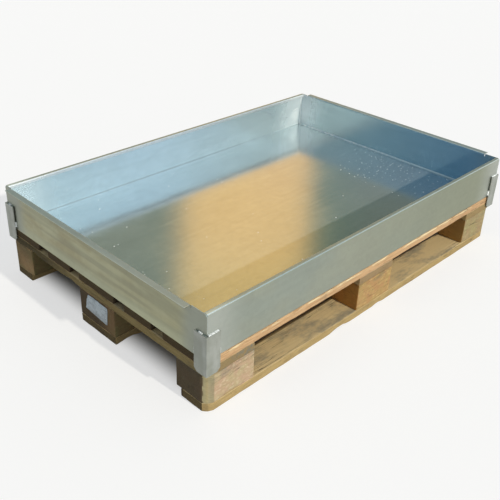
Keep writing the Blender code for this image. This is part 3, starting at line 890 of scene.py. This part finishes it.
def refine_steel(obj, edge):
    """Joins the solid's facets, rounds its sharp edges a little and shades its bends smooth."""
    mesh = obj.data
    if "custom_normal" in mesh.attributes:
        mesh.attributes.remove(mesh.attributes["custom_normal"])
    for face in mesh.polygons:
        face.use_smooth = True
    weld = obj.modifiers.new("join", "WELD")
    weld.merge_threshold = 0.00001
    flat = obj.modifiers.new("flatten", "DECIMATE")
    flat.decimate_type = "DISSOLVE"
    flat.angle_limit = math.radians(1)
    if edge:
        bevel = obj.modifiers.new("round", "BEVEL")
        bevel.width = edge
        bevel.segments = 2
        bevel.limit_method = "ANGLE"
        bevel.angle_limit = math.radians(50)
    split = obj.modifiers.new("creases", "EDGE_SPLIT")
    split.split_angle = math.radians(35)
    split.use_edge_sharp = False
    faces = obj.modifiers.new("flat faces", "WEIGHTED_NORMAL")
    faces.mode = "FACE_AREA"
    faces.weight = 100
    faces.keep_sharp = True


def dress_steel():
    """Coats every steel node, and returns the finishes of the welds and the end panels."""
    pan = zinc_sheet("zinc_pan", "Y", HALF_WIDTH - SHEET / 2, side_tone)
    end = zinc_sheet("zinc_end", "X", HALF_LENGTH - SHEET / 2, end_tone)
    angle, weld, seam = zinc_angle(), zinc_weld(), zinc_seam()
    coats = (
        ("tray_pan", pan, SHEET_EDGE), ("end_panel", end, SHEET_EDGE), ("guide_angle", angle, ANGLE_EDGE),
        ("end_seam_weld", seam, 0), ("top_weld", weld, 0), ("tack_weld", weld, 0),
    )
    for node, obj in NODES.items():
        for start, finish, edge in coats:
            if node.startswith(start):
                obj.data.materials.clear()
                obj.data.materials.append(finish)
                refine_steel(obj, edge)
    return weld, end


# Spatter on the far long wall: both ends of each dash, along and up
SPATTER = (
    ((0.555, 0.206), (0.581, 0.2105)), ((0.556, 0.159), (0.559, 0.159)), ((0.584, 0.150), (0.588, 0.151)),
)
SPATTER_STEP = 0.004
SPATTER_LUMP = (0.0026, 0.0011, 0.0014)


def weld_spatter(finish):
    """Small blobs and dashes left on the far long wall beside the rear right seam."""
    bm = bmesh.new()
    for (x0, z0), (x1, z1) in SPATTER:
        lumps = max(1, round((x1 - x0) / SPATTER_STEP))
        for i in range(lumps):
            t = (i + 0.5) / lumps
            place = Vector((x0 + (x1 - x0) * t, HALF_WIDTH - SHEET - 0.0003, z0 + (z1 - z0) * t))
            shape = Matrix.Translation(place) @ Matrix.Diagonal((*SPATTER_LUMP, 1.0))
            bmesh.ops.create_icosphere(bm, subdivisions=2, radius=1.0, matrix=shape)
    piece = show("weld_spatter", bm, finish)
    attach(piece, "tray")


def painted_gaps(finish):
    """Zinc paint that closes the narrow gap between each guide angle's end leg and the wall, at its top."""
    for row in ("front", "rear"):
        for side in ("left", "right"):
            low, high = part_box(f"guide_angle_{row}_{side}")
            hand = -1 if side == "left" else 1
            x0, x1 = sorted((hand * (HALF_LENGTH + 0.0001), hand * (HALF_LENGTH + 0.0026)))
            y0, y1 = low[1] + 0.004, high[1] - 0.004
            bm = bmesh.new()
            bmesh.ops.create_cube(bm, size=1.0)
            for v in bm.verts:
                v.co.x = x0 if v.co.x < 0 else x1
                v.co.y = y0 if v.co.y < 0 else y1
                v.co.z = high[2] - (0.0030 if v.co.z < 0 else 0.0004)
            piece = show(f"gap_paint_{row}_{side}", bm, finish, smooth=False)
            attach(piece, "tray")


# The ring of surroundings that the steel reflects: distance, steps, and lowest and highest degrees
RING_DISTANCE = 60.0
RING_STEPS = 120
RING_HEIGHTS = (4, 52)
TAN = (1.14, 0.645, 0.175)
GREEN_LEFT = (0.165, 0.185, 0.105)
GREEN_RIGHT = (0.135, 0.155, 0.095)
GREEN_MIDDLE = (0.105, 0.14, 0.085)
GREEN_FAR_RIGHT = (0.065, 0.11, 0.105)
GREEN_BY_TAN = (0.06, 0.16, 0.09)
GREEN_LEFT_OF_TAN = (0.06, 0.14, 0.09)
PALE = (0.80, 0.87, 0.90)

# Degrees by which the tan stretch widens on either side per unit of its height's tangent, and from where
TAN_LEAN_RIGHT, TAN_PIVOT_RIGHT = 2.4, 0.353
TAN_LEAN_LEFT, TAN_PIVOT_LEFT = 3.0, 0.500

# Added to the right of the tan stretch where it is low
LOW_BLUE = (0.0, 0.014, 0.07)

# By which all of it is multiplied where it is high
HIGH_TINT = (0.86, 0.96, 1.03)

# Azimuth in degrees and colour of what surrounds the tray
RING_STOPS = (
    (-170, PALE), (-152, (0.60, 0.70, 0.66)), (-132, (0.55, 0.66, 0.62)), (-108, PALE),
    (-64, (0.54, 0.79, 0.92)), (-52, (0.53, 0.79, 1.03)), (-43, (0.405, 0.55, 0.56)), (-18, PALE),
    (6, PALE), (12, GREEN_FAR_RIGHT), (24, GREEN_FAR_RIGHT), (31, GREEN_RIGHT), (34.5, GREEN_MIDDLE),
    (38.0, GREEN_BY_TAN), (38.4, TAN), (50.25, TAN), (50.65, GREEN_LEFT_OF_TAN), (54, GREEN_LEFT),
    (76, GREEN_LEFT), (84, PALE), (104, PALE), (126, (0.09, 0.26, 0.29)), (144, (0.035, 0.19, 0.255)),
    (156, (0.0, 0.085, 0.20)), (168, (0.05, 0.15, 0.25)), (179, PALE),
)


def surroundings_look():
    look = Look("surroundings")
    x, y, z = look.split(look.point)
    azimuth = look.times(look.math("ARCTAN2", y, x), math.degrees(1))
    height = look.math("DIVIDE", z, RING_DISTANCE)
    right = look.times(look.remap(azimuth, 20, 34), look.remap(azimuth, 41, 46, 1.0, 0.0))
    left = look.times(look.remap(azimuth, 42, 47), look.remap(azimuth, 54, 66, 1.0, 0.0))
    lean_right = look.add_share(height, TAN_LEAN_RIGHT, -TAN_LEAN_RIGHT * TAN_PIVOT_RIGHT)
    lean_left = look.add_share(height, -TAN_LEAN_LEFT, TAN_LEAN_LEFT * TAN_PIVOT_LEFT)
    lean = look.plus(look.times(right, lean_right), look.times(left, lean_left))
    share = look.add_share(look.plus(azimuth, lean), 1 / 360, 0.5)
    ramp = look.node("ShaderNodeValToRGB", {0: share})
    stops = ramp.color_ramp.elements
    stops[0].position, stops[1].position = 0.0, 1.0
    stops[0].color = stops[1].color = (*PALE, 1.0)
    for degrees, color in RING_STOPS:
        stop = stops.new(degrees / 360 + 0.5)
        stop.color = (*color, 1.0)
    cool = look.times(right, look.remap(height, 0.43, 0.52, 1.0, 0.0))
    seen = look.mix(cool, ramp.outputs[0], look.mix(1.0, ramp.outputs[0], LOW_BLUE, "ADD"))
    seen = look.tint(look.remap(height, 0.57, 0.67), seen, HIGH_TINT)
    return look.finish(
        Base_Color=(0.0, 0.0, 0.0), Specular_IOR_Level=0.0, Emission_Color=seen, Emission_Strength=1.0
    )


def surroundings():
    """A coloured ring far round the tray, which shows only in the steel."""
    bm = bmesh.new()
    rows = []
    for step in range(RING_STEPS):
        turn = 2 * math.pi * step / RING_STEPS
        x, y = RING_DISTANCE * math.cos(turn), RING_DISTANCE * math.sin(turn)
        heights = [RING_DISTANCE * math.tan(math.radians(degrees)) for degrees in RING_HEIGHTS]
        rows.append([bm.verts.new((x, y, z)) for z in heights])
    for a, b in zip(rows, rows[1:] + rows[:1]):
        bm.faces.new((a[0], b[0], b[1], a[1]))
    ring = show("surroundings", bm, surroundings_look(), smooth=False)
    ring.visible_camera = False
    ring.visible_diffuse = False
    ring.visible_shadow = False
    ring.visible_transmission = False


# The pale floor, which glows to the camera and has a painted shadow under the pallet
FLOOR_SIZE = 40
FLOOR_DROP = 0.0002
FLOOR_COLOR = (0.45, 0.45, 0.445)
FLOOR_GLOW = 0.60
FLOOR_SHADE_WIDTH = 0.08

# The sun-like key: strength, spread in degrees, colour and direction
KEY_ENERGY = 2.35
KEY_SPREAD = 1.4
KEY_COLOR = (1.0, 0.955, 0.87)
KEY_DIRECTION = (0.06, -1.0, 0.578)

# Colour and strength of the sky as light and as what the camera and the steel see
SKY_LIGHT = ((0.90, 0.95, 1.0), 0.40)
SKY_SEEN = ((0.97, 0.99, 1.0), 1.0)


def lay_floor():
    look = Look("floor")
    x, y, _ = look.split(look.point)
    past_end = look.minus(look.unsigned(x), HALF_LENGTH)
    past_side = look.minus(look.unsigned(y), HALF_WIDTH)
    # Painted shadow: the glow fades under the pallet's footprint
    clear = look.remap(look.most(past_end, past_side), -FLOOR_SHADE_WIDTH, 0.0)
    finish = look.finish(
        Base_Color=FLOOR_COLOR, Roughness=0.9, Specular_IOR_Level=0.1, Emission_Color=(1.0, 1.0, 1.0),
        Emission_Strength=look.times(seen_directly(look.tree), clear, FLOOR_GLOW),
    )
    bm = bmesh.new()
    bmesh.ops.create_grid(bm, x_segments=1, y_segments=1, size=FLOOR_SIZE)
    floor = show("floor", bm, finish, smooth=False)
    floor.location.z = -FLOOR_DROP


def studio():
    """Pale floor, a low sun-like key from the front and an even surround."""
    lay_floor()
    key = bpy.data.lights.new("key", "SUN")
    key.energy = KEY_ENERGY
    key.angle = math.radians(KEY_SPREAD)
    key.color = KEY_COLOR
    lamp = bpy.data.objects.new("key", key)
    lamp.rotation_mode = "QUATERNION"
    lamp.rotation_quaternion = Vector(KEY_DIRECTION).to_track_quat("Z", "Y")
    bpy.context.scene.collection.objects.link(lamp)

    world = bpy.data.worlds.new("surround")
    bpy.context.scene.world = world
    world.use_nodes = True
    tree = world.node_tree
    tree.nodes.clear()
    both = tree.nodes.new("ShaderNodeMixShader")
    tree.links.new(seen_directly(tree), both.inputs[0])
    for place, (color, strength) in enumerate((SKY_LIGHT, SKY_SEEN), 1):
        sky = tree.nodes.new("ShaderNodeBackground")
        sky.inputs["Color"].default_value = (*color, 1.0)
        sky.inputs["Strength"].default_value = strength
        tree.links.new(sky.outputs[0], both.inputs[place])
    out = tree.nodes.new("ShaderNodeOutputWorld")
    tree.links.new(both.outputs[0], out.inputs["Surface"])


def photo_camera():
    ahead = (CAMERA_TARGET - CAMERA_PLACE).normalized()
    right = ahead.cross(Vector((0, 0, 1))).normalized()
    up = right.cross(ahead)
    c, s = math.cos(CAMERA_ROLL), math.sin(CAMERA_ROLL)
    x_axis, y_axis = c * right + s * up, c * up - s * right
    camera = bpy.data.cameras.new("camera")
    camera.sensor_width = SENSOR
    camera.lens = FOCAL_PIXELS * SENSOR / PICTURE
    camera.shift_x = 0.5 - PRINCIPAL_POINT[0] / PICTURE
    camera.shift_y = PRINCIPAL_POINT[1] / PICTURE - 0.5
    obj = bpy.data.objects.new("camera", camera)
    turn = Matrix((x_axis, y_axis, -ahead)).transposed().to_4x4()
    obj.matrix_world = Matrix.Translation(CAMERA_PLACE) @ turn
    bpy.context.scene.collection.objects.link(obj)
    bpy.context.scene.camera = obj


dress_wood()
drive_nails()
torn_label()
WELD_FINISH, END_FINISH = dress_steel()
weld_spatter(WELD_FINISH)
painted_gaps(END_FINISH)
surroundings()
studio()
photo_camera()
bpy.context.scene.view_settings.view_transform = "Standard"
bpy.context.view_layer.update()
